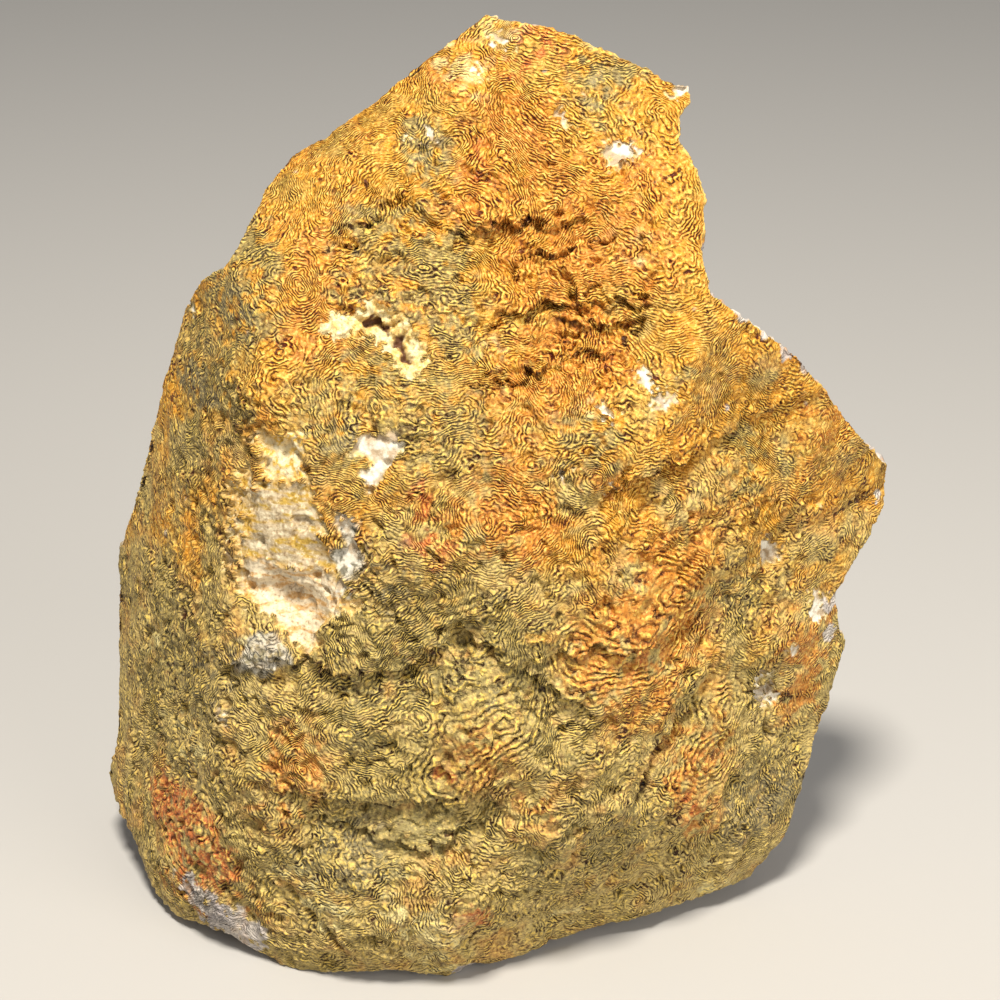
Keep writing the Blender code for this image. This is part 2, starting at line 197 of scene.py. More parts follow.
GREY_PATCH = [
    (-31.4, 104.6), (-28.1, 106.8), (-26, 105.6), (-26.3, 101.5), (-24.6, 98.2), (-26.3, 93.8), (-31, 94.2),
    (-34.3, 97.4), (-33.6, 99.6), (-30.2, 100.5),
]
SPECKLED_PATCH = [
    (-53.7, 76.4), (-49.8, 81.8), (-46.3, 81.9), (-43.6, 77.9), (-41.7, 74.4), (-45.9, 71), (-51.6, 69.8),
    (-54.6, 71.7),
]
CAVITY_BAND = [
    (-34.5, 140.3), (-32, 141.7), (-29.1, 141.1), (-26.8, 143.1), (-24.4, 143.9), (-21.7, 143.2),
    (-19, 141.4), (-16.6, 139.1), (-15.1, 136.7), (-14.3, 134.2), (-15.3, 132.2), (-17.2, 131.7),
    (-19.1, 133), (-20.1, 135), (-22, 136.2), (-24, 137.3), (-26.3, 138.5), (-29, 139.3), (-32.1, 138.6),
]
# The two slits in the cavity's pale crust, painted dark brown as painted shade of their depth.
CAVITIES = [
    [(-25.4, 140.4), (-23.4, 139.7), (-21.9, 138.4)],
    [(-20.2, 137.0), (-18.8, 135.5), (-18.2, 134.0)],
]
# Small chips in the rind that show white quartz: x, z and radius in mm.
WHITE_CHIPS = [
    (24, 169, 2.3), (30, 131, 1.8), (32, 127, 2.0), (20, 125, 1.6), (55, 87, 2.9), (55, 58, 2.0),
    (57, 53, 2.6), (67, 71, 2.6), (22, 112, 1.0), (10, 176, 1.2), (37, 179, 2.2), (-62, 136, 1.4),
    (0, 188, 1.3), (-28, 99, 2.6), (-29, 105, 2.2), (-30, 92, 1.8), (-5, 182, 1.1), (-16, 172, 1.4),
    (13, 116, 1.0), (60, 62, 1.6), (-57, 60, 1.6),
]

# Crisp ledges of the rind, as points from left to right above the drop.
LEDGES = [
    [(-34, 47), (-30, 46.3), (-24, 45.5), (-18, 47.5), (-12, 48), (-6, 47), (-4, 51)],
    [(-50, 73), (-46, 75), (-40, 76), (-32, 74.5), (-26, 75), (-20, 76), (-11, 83)],
    [(0, 79), (6, 75), (12, 70)],
    [(6, 142.5), (11, 144)], [(18, 140), (23, 140.5)], [(24, 144), (29, 144)], [(15, 136.5), (18, 136)],
    [(3, 132), (9, 133)], [(-3, 156), (7, 157)], [(9, 152), (13, 153), (14, 144)],
    [(27, 113), (37, 115), (47, 118), (59, 119)],
    [(15, 79), (20, 79), (25, 78), (31, 78)],
    [(-30, 40), (-20, 36), (-10, 38), (-6, 42)],
    [(-36, 153), (-30, 156), (-26, 159)],
]
# Cracks of the rind: depth, half width and points.
CRACKS = [
    (1.5, 0.7, [(41, 58), (38, 56), (34, 52), (32, 51), (31, 47), (29, 41)]),
    (1.1, 0.45, [(49, 61), (55, 54), (64, 49)]),
    (0.9, 0.5, [(70, 89), (76, 91), (81, 91)]),
    (1.0, 0.6, [(-27, 165), (-26, 162)]),
]
# Soft round patches of the rind as x, z, radius and strength: first where the wrinkles are worn flat,
# then its stains and crusts by colour.
WORN_FLAT = [(-24, 39, 9, 1.0), (-13, 39, 7, 0.9), (-62, 96, 7, 0.5)]
ORANGE = [
    (-31, 144, 9.4, 0.9), (-19, 144, 6.2, 0.6), (-39, 139, 6.2, 0.7), (0, 128, 8.3, 0.6),
    (4, 111, 11.4, 0.8), (-4, 103, 8.3, 0.7), (-10, 107, 6.2, 0.6), (36, 97, 8.3, 0.9), (30, 89, 8.3, 0.8),
    (28, 70, 10.4, 1), (20, 79, 8.3, 0.8), (41, 78, 5.2, 0.7), (-4, 62, 9.4, 0.8), (-8, 50, 5.2, 0.6),
    (40, 44, 8.3, 1), (42, 29, 5.2, 0.7), (66, 63, 7.3, 1), (64, 49, 6.2, 0.8), (8, 45, 5.8, 0.7),
    (-40, 57, 8.3, 0.6), (-41, 45, 6.2, 0.5), (12, 130, 6.2, 0.6), (-12, 125, 5.2, 0.5), (-6, 181, 7.3, 0.6),
    (-6, 164, 8.3, 0.7), (-14, 139, 5.2, 0.5), (66, 113, 7.3, 0.6), (60, 100, 5.2, 0.4), (-19, 91, 3.1, 0.3),
    (6, 169, 10.4, 0.4), (-24, 41, 4.2, 0.3), (19, 114, 4.2, 0.6), (-45, 41, 7.0, 0.6), (16, 76, 5.0, 0.6),
    (34, 90, 6.0, 0.5), (4, 176, 9, 0.4), (12, 160, 13, 0.7), (24, 165, 8, 0.5), (28, 153, 9, 0.6),
    (12, 144, 12, 0.8), (21, 138, 8, 0.7), (-33, 153, 6, 0.5), (-12, 184, 5, 0.5), (-29, 167, 6, 0.4),
    (-70, 12, 6, 0.5), (-52, 16, 6, 0.5),
]
RED = [
    (-65.5, 26, 7.5, 2.2), (-62, 22, 5, 1.2), (-6, 21, 5, 0.9), (6, 186, 6.2, 0.8), (-4, 168, 3.3, 0.5),
    (-14, 103, 5.8, 0.6), (-12, 53, 3.1, 0.5), (28, 74, 3.7, 0.4), (62, 17, 2.9, 0.7), (-64, 12, 5.2, 0.5),
    (-20, 80, 2.1, 0.3), (-33, 92, 3.3, 0.4), (40, 36, 3.7, 0.5), (-56, 6, 3.7, 0.3), (12, 54, 2.5, 0.3),
    (-15, 111, 3.7, 0.5),
]
OLIVE = [
    (-14, 169, 5.8, 1), (-23, 150, 10.4, 0.9), (-12, 149, 7.3, 0.7), (20, 179, 8.3, 0.8), (-16, 87, 14.6, 1),
    (-24, 69, 12.5, 1), (-4, 83, 10.4, 0.8), (-49, 96, 6.2, 0.5), (-69, 65, 11.4, 0.8), (-70, 47, 10.4, 0.7),
    (12, 30, 12.5, 0.5), (-16, 44, 12.5, 0.8), (-35, 33, 12.5, 0.7), (27, 100, 2.1, 0.2),
    (19, 121, 7.3, 0.5), (12, 120, 6.2, 0.4), (49, 79, 7.3, 0.8), (48, 108, 8.3, 0.6), (4, 70, 7.3, 0.6),
    (8, 83, 6.2, 0.5), (-10, 121, 10.4, 0.7), (-19, 128, 10.4, 0.6), (-61, 126, 7.3, 0.8),
    (-53, 123, 5.2, 0.6), (-49, 142, 6.2, 0.6), (12, 61, 10.4, 0.6), (25, 34, 12.5, 0.5),
    (-10, 138, 8.3, 0.5), (-35, 121, 4.2, 0.4), (39, 130, 8.3, 0.4), (56, 39, 7.3, 0.7), (-4, 99, 2.5, 0.3),
    (-50, 150, 7, 0.7), (-54, 142, 6, 0.8), (-59, 131, 5, 0.8), (-29, 117, 5, 0.6), (-34, 126, 7, 0.7),
    (-54, 152, 5, 0.6), (60, 28, 8, 0.8),
]
GREY = [
    (-14, 169, 3.7, 0.7), (-61, 122, 5.2, 0.8), (-51, 140, 3.7, 0.7), (-23, 92, 4.6, 0.5),
    (-58, 64, 6.2, 0.8), (-48, 67, 6.2, 0.5), (56, 31, 5.8, 1), (48, 79, 4.6, 0.3), (-33, 33, 9.4, 0.7),
    (0, 70, 3.7, 0.5), (-44, 80, 4.6, 0.6), (-52, 76, 4.2, 0.6), (49, 90, 4.2, 0.4), (38, 105, 3.3, 0.3),
    (-19, 99, 5.2, 0.6), (-29, 100, 3.1, 0.5), (0, 95, 3.7, 0.4), (-47, 49, 2.9, 0.4), (20, 178, 4.6, 0.5),
    (-29, 151, 3.7, 0.4), (59, 27, 7, 1.0), (52, 22, 5, 0.7), (-53, 142, 4, 0.6), (-31, 121, 5, 0.5),
]
PALE = [
    (-16, 20, 8.3, 0.8), (-10, 6, 5.2, 0.8), (-35, 18, 5.2, 0.5), (-4, 181, 2.9, 0.7), (0, 191, 6.2, 0.5),
    (-10, 184, 3.3, 0.6), (-41, 26, 6.2, 0.4), (-76, 59, 5.2, 0.4), (-65, 48, 6.2, 0.5), (-48, 77, 4.2, 0.6),
    (20, 188, 4.2, 0.3), (44, 9, 8.3, 0.4), (13, 10, 6.2, 0.5), (16, 99, 1.7, 0.2), (27, 153, 6.2, 0.2),
    (-41, 120, 6.2, 0.3), (-73, 78, 4.2, 0.3), (17, 126, 2.1, 0.5), (0, 136, 5.2, 0.3),
]

# Places by the rim where the rind has flaked off the quartz: x, z, radius and strength.
EDGE_QUARTZ = [
    (-60, 10, 6, 0.9), (-66, 14, 4.6, 0.8), (-54, 6, 5.6, 0.9), (-8, 2, 3.5, 0.9), (39, 181, 2.2, 1.0),
    (71, 63, 2.5, 0.9), (70, 70, 2.5, 0.9), (57, 131, 2.5, 0.8), (47, 141, 2.5, 0.8), (80, 90, 2.0, 0.7),
    (53, 136, 2.0, 0.8), (62, 126.5, 2.0, 0.8), (67, 121, 1.8, 0.8), (72, 115, 2.0, 0.8),
    (77, 109, 1.8, 0.8),
]

# The hollow as seen along Y: its middle, how deep a broken rim's points lie, and the shares of the way
# to the rim where the lining ends and where the body under it begins.
HOLLOW_MIDDLE = np.array([-2.0, 88.0])
RIM_Y = 20.0
LINING_SHARE = 0.86
BODY_SHARE = 0.78
RIM_SECTORS = 72
# Depths behind the rind, in mm, from which the mesh is coarser and from which the hollow can lie.
THINNING_DEPTH = 3.2
WALL_DEPTH = 9.0
WALL_TRIANGLES = 150000
# Wrinkles that lie wider apart than the spacing are ropes with a real height of their own. They end at
# the reach from their line, and wrinkles of the usual spacing go on from there, all in mm.
ROPE_SPACING = 1.45
ROPE_REACH = 10.0
USUAL_SPACING = 1.1
# The share of the solid's own relief that is kept, how much closer the wrinkles lie than the spacings
# say, and how softly the wrinkles of two whorls merge, in wrinkles.
RELIEF_SHARE = 0.85
WRINKLE_SHARE = 0.72
WHORL_MERGING = 0.35
# The map of the solid's relief: its lower left corner and its count of 1 mm cells along x and z.
MAP_CORNER = np.array([-110.0, -15.0])
MAP_CELLS = (220, 225)
# How far the rind and the broken wall may be moved to their fine shape, in mm.
MOST_SHIFT = 1.2
MOST_BROKEN = 0.6
# How deep the lining's edge is tucked into the wall, in mm.
LINING_TUCK = 1.8

# The small quartz points, in mm: where they may stand, how many places are tried, how far around a
# gap is told from a crest, how deep the roots go, and the ranges of their radii and heights.
POINT_FIELD = ((-85, 85), (4, 188))
POINT_TRIES = 9000
GAP_REACH = 7.0
POINT_ROOT = 2.5
POINT_RADII = (0.6, 2.1)
POINT_HEIGHTS = (0.3, 1.8)

CAMERA_RISE = 25.0
CAMERA_DISTANCE = 0.5
CAMERA_LENS = 86.54


def wrinkle_phases(p):
    """Two counts of wrinkles from the nearest whorl, where each is used, and where the wrinkles are
    ropes. Where one count gives way to the other, the wrinkles fork and end as real ones do."""
    bend = np.stack([1.9 * waves(p, 26.0, 40 + k) + 0.5 * waves(p, 8.5, 50 + k) for k in range(3)], axis=1)
    q = p + bend.astype(np.float32)
    turns, closeness = [], []
    for x0, z0, x1, z1, spacing in WHORLS:
        start, end = (np.array([x, rind_form(x, z)[0][0], z]) for x, z in ((x0, z0), (x1, z1)))
        run = end - start
        along = np.clip(((q - start) @ run) / max(run @ run, 1e-6), 0, 1)
        distance = np.linalg.norm(q - start - along[:, None] * run, axis=1)
        inner = np.minimum(distance, ROPE_REACH) if spacing > ROPE_SPACING else distance
        turns.append((inner / spacing + (distance - inner) / USUAL_SPACING) / WRINKLE_SHARE)
        closeness.append((spacing > ROPE_SPACING) * smooth(ROPE_REACH + 1.0, ROPE_REACH - 1.5, distance))
    turns = np.array(turns)
    least = turns.min(axis=0)
    near = np.exp(-(turns - least) / WHORL_MERGING)
    base = least - WHORL_MERGING * np.log(near.sum(axis=0))
    ropes = (near * np.array(closeness)).sum(axis=0) / near.sum(axis=0)
    first = base + (0.26 * waves(p, 2.6, 301) + 0.15 * waves(p, 1.3, 302)) * (1 - 0.55 * ropes)
    second = 1.16 * base + 0.35 * waves(p, 7.0, 311) + 0.26 * waves(p, 2.6, 305) + 0.15 * waves(p, 1.3, 306)
    return first, second, smooth(-0.35, 0.35, waves(p, 3.6, 320)) * (1 - ropes), ropes


def rind_fields(p):
    """The named fields of each rind point, in the face's frame in mm."""
    x, _, z = p.T.astype(float)
    warp = np.stack([layered(p, 17.0, 40 + 7 * k, 3, 0.48) for k in range(3)], axis=1)
    first, second, choice, ropes = wrinkle_phases(p)
    jitter = 0.9 * warp[:, 0] + 0.5 * warp[:, 2]
    xs, zs = x + jitter, z + 0.7 * warp[:, 1]
    tops, middles, lows = (inside_outline(xs, zs, o) for o in (SPALL_TOP, SPALL_MIDDLE, SPALL_LOW))
    whites = inside_outline(xs, zs, WHITE_PATCH)
    greys, speckles = inside_outline(xs, zs, GREY_PATCH), inside_outline(xs, zs, SPECKLED_PATCH)
    frayed = 0.5 * layered(p, 2.6, 47, 2)
    xh, zh = x + 0.35 * waves(p, 2.2, 58), z + 0.35 * waves(p, 2.2, 59)
    bands = inside_outline(x + 0.15 * jitter, z + 0.1 * warp[:, 1], CAVITY_BAND) + 0.5 + frayed
    chips = np.max([r - np.hypot(xs - cx, zs - cz) for cx, cz, r in WHITE_CHIPS], axis=0)
    chips += 0.55 * waves(p, 1.3, 49)
    flaked = np.max([tops, middles, lows, greys - 0.3], axis=0) + 1.1 * frayed
    whites = np.maximum(whites, chips)
    return {
        "phase": first,
        "other_phase": second,
        "choice": choice,
        "ropes": ropes,
        "bare": np.max([flaked, whites + 0.7 * frayed, bands], axis=0),
        "top": tops,
        "middle": middles,
        "low": lows,
        "white": whites,
        "speckled": np.maximum(greys, speckles),
        "band": bands,
        "holes": np.max([np.exp(-((near_line(xh, zh, line)[0] / 0.75) ** 2)) for line in CAVITIES], axis=0),
    }


def to_mm(points):
    """Points of the part, in metres, in the face's frame in mm."""
    return (points * 1000 - np.array(FACE_SHIFT)).astype(np.float32)


def read(items, name, width=1, kind=np.float32):
    """One property of all the items of a mesh, as rows of this width."""
    found = np.empty(width * len(items), kind)
    items.foreach_get(name, found)
    return found.reshape(-1, width) if width > 1 else found


def coordinates(mesh):
    return read(mesh.vertices, "co", 3)


def vertex_normals(mesh):
    return read(mesh.vertices, "normal", 3)


def edge_ends(mesh):
    return read(mesh.edges, "vertices", 2, np.int32)


def neighbour_mean(values, ends, rounds):
    """Each vertex's values averaged with its neighbours', several times over."""
    count = len(values)
    degree = np.bincount(ends.ravel(), minlength=count) + 1.0
    for _ in range(rounds):
        total = values.astype(float).copy()
        for column in range(values.shape[1]):
            total[:, column] += np.bincount(ends[:, 0], values[ends[:, 1], column], count)
            total[:, column] += np.bincount(ends[:, 1], values[ends[:, 0], column], count)
        values = total / degree[:, None]
    return values


def store(mesh, name, values):
    mesh.attributes.new(name, "FLOAT", "POINT").data.foreach_set("value", values.astype(np.float32))


def deselect_all():
    if bpy.context.mode != "OBJECT":
        bpy.ops.object.mode_set(mode="OBJECT")
    bpy.ops.object.select_all(action="DESELECT")


def select_only(piece):
    deselect_all()
    piece.select_set(True)
    bpy.context.view_layer.objects.active = piece


def merged_copy(name):
    """A copy of the part's solid with its loose triangles joined up."""
    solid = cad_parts[NODE]
    piece = bpy.data.objects.new(name, solid.data.copy())
    piece.data.name = name
    bpy.context.scene.collection.objects.link(piece)
    piece.matrix_world = solid.matrix_world
    select_only(piece)
    bpy.ops.object.transform_apply(location=True, rotation=True, scale=True)
    bpy.ops.object.mode_set(mode="EDIT")
    bpy.ops.mesh.select_all(action="SELECT")
    bpy.ops.mesh.remove_doubles(threshold=0.000001)
    bpy.ops.object.mode_set(mode="OBJECT")
    return piece


def apply(piece, kind, **values):
    """Adds a modifier with its settings and applies it."""
    select_only(piece)
    added = piece.modifiers.new(kind.lower(), kind)
    for key, value in values.items():
        setattr(added, key, value)
    bpy.ops.object.modifier_apply(modifier=added.name)


def edit_faces(piece, faces):
    """Opens the piece in edit mode with only these faces selected, by a mask."""
    select_only(piece)
    piece.data.polygons.foreach_set("select", faces)
    for part in (piece.data.vertices, piece.data.edges):
        part.foreach_set("select", np.zeros(len(part), bool))
    bpy.ops.object.mode_set(mode="EDIT")
    bpy.context.tool_settings.mesh_select_mode = (False, False, True)


def face_corners(mesh):
    """The vertex of each corner of the mesh's faces, and the first corner of each face."""
    corners = read(mesh.loops, "vertex_index", kind=np.int32)
    return corners, read(mesh.polygons, "loop_start", kind=np.int32)


def face_all(mesh, chosen):
    """The faces whose corners are all chosen."""
    corners, starts = face_corners(mesh)
    return np.logical_and.reduceat(chosen[corners], starts)


def face_mean(mesh, values):
    """Each face's mean of a value per vertex."""
    corners, starts = face_corners(mesh)
    counts = np.diff(np.append(starts, len(corners)))
    return np.add.reduceat(values[corners], starts) / counts


def split_off(piece, faces, name):
    """Takes the masked faces out of the piece as a new object."""
    edit_faces(piece, faces)
    bpy.ops.mesh.separate(type="SELECTED")
    bpy.ops.object.mode_set(mode="OBJECT")
    part = next(o for o in bpy.context.selected_objects if o != piece)
    part.name = name
    part.data.name = name
    return part


def delete_faces(piece, faces):
    edit_faces(piece, faces)
    bpy.ops.mesh.delete(type="FACE")
    bpy.ops.object.mode_set(mode="OBJECT")


def rim_share(p):
    """How far each place is from the hollow's middle, as a share of the way to the broken rim."""
    solid = to_mm(coordinates(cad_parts[NODE].data))
    rim = solid[solid[:, 1] > RIM_Y]
    away = rim[:, [0, 2]] - HOLLOW_MIDDLE
    at = (np.arctan2(away[:, 1], away[:, 0]) / (2 * math.pi) % 1 * RIM_SECTORS).astype(int)
    reach = np.zeros(RIM_SECTORS)
    np.maximum.at(reach, at, np.hypot(*away.T))
    reach = np.where(reach == 0, reach.max(), reach)
    away = p[:, [0, 2]] - HOLLOW_MIDDLE
    at = np.arctan2(away[:, 1], away[:, 0]) / (2 * math.pi) % 1 * RIM_SECTORS - 0.5
    steps = np.arange(-1, RIM_SECTORS + 1)
    return np.hypot(*away.T) / np.interp(at, steps, np.concatenate([reach[-1:], reach, reach[:1]]))


def blurred(grid, size):
    """A grid of 1 mm cells blurred by a bell curve of this size in mm."""
    rates = np.fft.fftfreq(grid.shape[0])[:, None] ** 2 + np.fft.rfftfreq(grid.shape[1])[None] ** 2
    return np.fft.irfft2(np.fft.rfft2(grid) * np.exp(-2 * (math.pi * size) ** 2 * rates), grid.shape)


def coarse_relief(p, offset, on_rind):
    """The coarse solid's own relief over the smooth form, without its facets, at each point."""
    at = p[:, [0, 2]] - MAP_CORNER
    spot = at[on_rind].astype(int)
    index = spot[:, 0] * MAP_CELLS[1] + spot[:, 1]
    size = MAP_CELLS[0] * MAP_CELLS[1]
    count = np.bincount(index, minlength=size).astype(float).reshape(MAP_CELLS)
    total = np.bincount(index, offset[on_rind], size).reshape(MAP_CELLS)
    near, wide = (blurred(total, blur) / np.maximum(blurred(count, blur), 1e-6) for blur in (1.5, 7.0))
    trust = smooth(0.05, 0.4, blurred(count, 1.5) / max(count.max() * 0.3, 1e-6))
    relief = near * trust + wide * (1 - trust)
    at = np.clip(at - 0.5, 0, np.array(MAP_CELLS) - 1.001)
    i, j = at.astype(int).T
    u, v = (at % 1).T
    corners = ((0, 0), (1, 0), (0, 1), (1, 1))
    return sum(relief[i + a, j + b] * abs(1 - a - u) * abs(1 - b - v) for a, b in corners)


def terraces(p, height, direction, seed, bend, fall):
    """Flaked steps of this height in mm, scalloped, each falling off over a share of its height: 0 to 1."""
    x, _, z = p.T.astype(float)
    climb = (direction * x - z) / height + bend * layered(p, 2.2 * height, seed, 2)
    part = climb - np.floor(climb)
    return np.where(part < 1 - fall, part / (1 - fall), (1 - part) / fall) ** 1.4


def rind_detail(p, fields, values):
    """Height in mm of the fine relief that the coarse solid leaves out, outwards, how wrinkled it is, and how
    close the foot of a ledge or a crack is, where grime and painted shadow darken it."""
    x, _, z = p.T.astype(float)
    drop = values.ledge_height / MM
    flaky = smooth(-0.5, 0.8, layered(p, 20.0, 86, 2))
    whole = (1 - 0.92 * smooth(0.0, 1.0, fields["bare"])) * (1 - 0.8 * fields["ropes"])
    height = (0.26 * layered(p, 9.0, 71) + 0.10 * layered(p, 2.8, 75, 2)) * (0.3 + 0.7 * whole)
    height += 0.85 * drop * flaky * whole * terraces(p, 9.5, 0.25, 81, 0.9, 0.06)
    scaly = smooth(-0.6, 0.7, layered(p, 13.0, 88, 2))
    height += 0.34 * drop * whole * scaly * terraces(p, 3.4, -0.3, 84, 0.8, 0.15)
    height -= 1.3 * smooth(1.1, 2.1, layered(p, 6.5, 97, 2))
    # The darkened foot of a ledge or a crack: grime in the cracks, painted shadow under the ledges' lips.
    gap = np.zeros(len(p))
    wander = layered(p, 13.0, 93, 2)
    x_ledge, z_ledge = x + 0.9 * wander, z + 0.7 * layered(p, 4.0, 91, 2)
    x_crack, z_crack = x + 0.45 * wander, z + 0.5 * layered(p, 4.0, 95, 2)
    for line in LEDGES:
        distance, below = near_line(x_ledge, z_ledge, line)
        under = smooth(0.0, 0.45, below) * np.exp(-np.maximum(below, 0) / 3.5)
        height -= 2.4 * drop * under * (1 - smooth(7.0, 11.0, distance))
        gap = np.maximum(gap, np.exp(-((distance / 0.6) ** 2)) * (below > -0.1))
        height += 0.6 * drop * np.exp(-((distance / 1.3) ** 2)) * (below < 0)
    for depth, width, line in CRACKS:
        crack = np.exp(-((near_line(x_crack, z_crack, line)[0] / width) ** 2))
        height -= depth * crack
        gap = np.maximum(gap, crack)
    bare = smooth(-0.1, 0.35, fields["bare"])
    counts = (fields["phase"], fields["other_phase"])
    first, second = (np.abs(np.sin(math.pi * count)) ** 0.75 - 0.6 for count in counts)
    crests = first + (second - first) * fields["choice"]
    patchy = 0.80 + 0.30 * layered(p, 4.5, 51, 2)
    calm = 1 - 0.8 * smooth(0.3, 0.9, blobs(x, z, WORN_FLAT))
    amount = np.clip(patchy, 0.25, 1.4) * calm * (1 - bare)
    height += values.wrinkle_height / MM * (0.45 + 1.5 * fields["ropes"]) * crests * amount
    stripes = np.sin(2 * math.pi * ((0.5 * x + z) / 2.1 + 0.5 * layered(p, 4.0, 61, 2)))
    crust = smooth(-0.2, 0.6, fields["band"])
    height -= bare * (1 - crust) * (0.75 + 0.35 * smooth(0, 2.5, fields["bare"]))
    height += bare * (0.05 * layered(p, 4.5, 63) + 0.02 * stripes) + crust * 0.25 * layered(p, 1.8, 67, 2)
    height -= 1.6 * fields["holes"]
    return height, amount, gap


def paint(mesh, p, fields, inward, amount, gap):
    """Stores what the material reads: where each kind of surface and stain is, and where it paints shade,
    shadow and highlights.
    """
    x, _, z = p.T.astype(float)
    ends = edge_ends(mesh)
    normals = vertex_normals(mesh)
    fine = neighbour_mean(p, ends, 4)
    wide = neighbour_mean(fine, ends, 26)
    # How far each vertex lies in a fine and in a wide hollow: from these the material paints shade in the
    # hollows and highlights on the ridges.
    store(mesh, "crevice", ((fine - p) * normals).sum(axis=1))
    store(mesh, "dip", ((wide - p) * normals).sum(axis=1))
    rind = smooth(1.4, 0.8, inward + 0.25 * layered(p, 4.0, 21, 2))
    rind = np.maximum(rind, smooth(0.95, 0.90, rim_share(p)) * (inward < WALL_DEPTH))
    flaked_off = blobs(x, z, EDGE_QUARTZ) * (1 + 0.35 * layered(p, 4.0, 23, 3))
    rind *= 1 - smooth(0.42, 0.66, flaked_off)
    store(mesh, "rind", rind)
    store(mesh, "inward", np.clip(inward, -5, 60))
    for name in ("phase", "other_phase", "choice", "ropes"):
        store(mesh, name, fields[name])
    store(mesh, "wrinkles", amount)
    # Where the foot of a ledge or a crack is painted dark: grime in the cracks, painted shadow under the
    # ledges' lips.
    store(mesh, "gap", gap * smooth(-0.9, 0.1, layered(p, 3.0, 113, 2)))
    store(mesh, "bare", smooth(-0.1, 0.3, fields["bare"]) * rind)
    store(mesh, "milk", smooth(0.0, 0.5, fields["top"]))
    store(mesh, "frost", smooth(0.0, 0.5, fields["white"]))
    spalls = np.max([fields[name] for name in ("top", "middle", "low")], axis=0)
    store(mesh, "lip", smooth(2.6, 0.6, spalls) * smooth(-0.9, 0.3, layered(p, 5.0, 111, 2)))
    store(mesh, "speckled", smooth(-0.5, 0.8, fields["speckled"]) * rind)
    store(mesh, "smoke", smooth(0.0, 0.8, fields["middle"]))
    store(mesh, "blush", smooth(0.0, 0.8, fields["low"]))
    # Painted shade of the slits' depth: where they are coloured dark brown.
    store(mesh, "dark", smooth(0.35, 0.75, fields["holes"] + 0.08 * waves(p, 1.5, 109)))
    mix, fleck = layered(p, 15.0, 101, 3), layered(p, 4.5, 105, 3)
    gold = smooth(-0.6, 0.7, (z - 100) / 55 + 0.30 * mix + 0.12 * fleck + 0.35 * smooth(-10, 50, x))
    store(mesh, "gold", gold)
    for name, places, low, high in (
        ("orange", ORANGE, 0.15, 0.80),
        ("red", RED, 0.20, 0.85),
        ("olive", OLIVE, 0.12, 0.85),
        ("grey", GREY, 0.20, 0.90),
        ("pale", PALE, 0.20, 0.90),
    ):
        strength = blobs(x, z, places)
        frays = (0.7 * mix + fleck) * (0.05 + 0.45 * strength)
        store(mesh, name, smooth(low, high, strength + frays))


def measure(mesh):
    """Each vertex in the face's frame, the rind's y there, how squarely it faces outwards and how deep
    it lies."""
    p = to_mm(coordinates(mesh))
    form, slope_x, slope_z = rind_form(p[:, 0], p[:, 2])
    steep = np.sqrt(1 + slope_x**2 + slope_z**2)
    normals = vertex_normals(mesh)
    facing = (slope_x * normals[:, 0] - normals[:, 1] + slope_z * normals[:, 2]) / steep
    offset = p[:, 1] - form
    relief = coarse_relief(p, offset, (facing > 0.55) & (abs(offset) < 7))
    return p, form + RELIEF_SHARE * relief, facing, (offset - relief) / steep


def set_points(mesh, p):
    """Moves the vertices to these places of the face's frame, none of them below the floor."""
    placed = (p + np.array(FACE_SHIFT)) * MM
    placed[:, 2] = np.maximum(placed[:, 2], 0)
    mesh.vertices.foreach_set("co", placed.astype(np.float32).ravel())
    mesh.update()


def belongs(piece, material):
    """The piece shows in place of the part's solid and takes this material."""
    piece.data.materials.clear()
    piece.data.materials.append(material)
    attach(piece, "root")
    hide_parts(NODE)


def keep_whole_normals(piece):
    """Shades a patch as part of the whole body, so that the seams between patches don't show."""
    mesh = piece.data
    normals = read(mesh.attributes["whole_normal"].data, "vector", 3)
    mesh.attributes.remove(mesh.attributes["whole_normal"])
    mesh.normals_split_custom_set_from_vertices(normals.tolist())


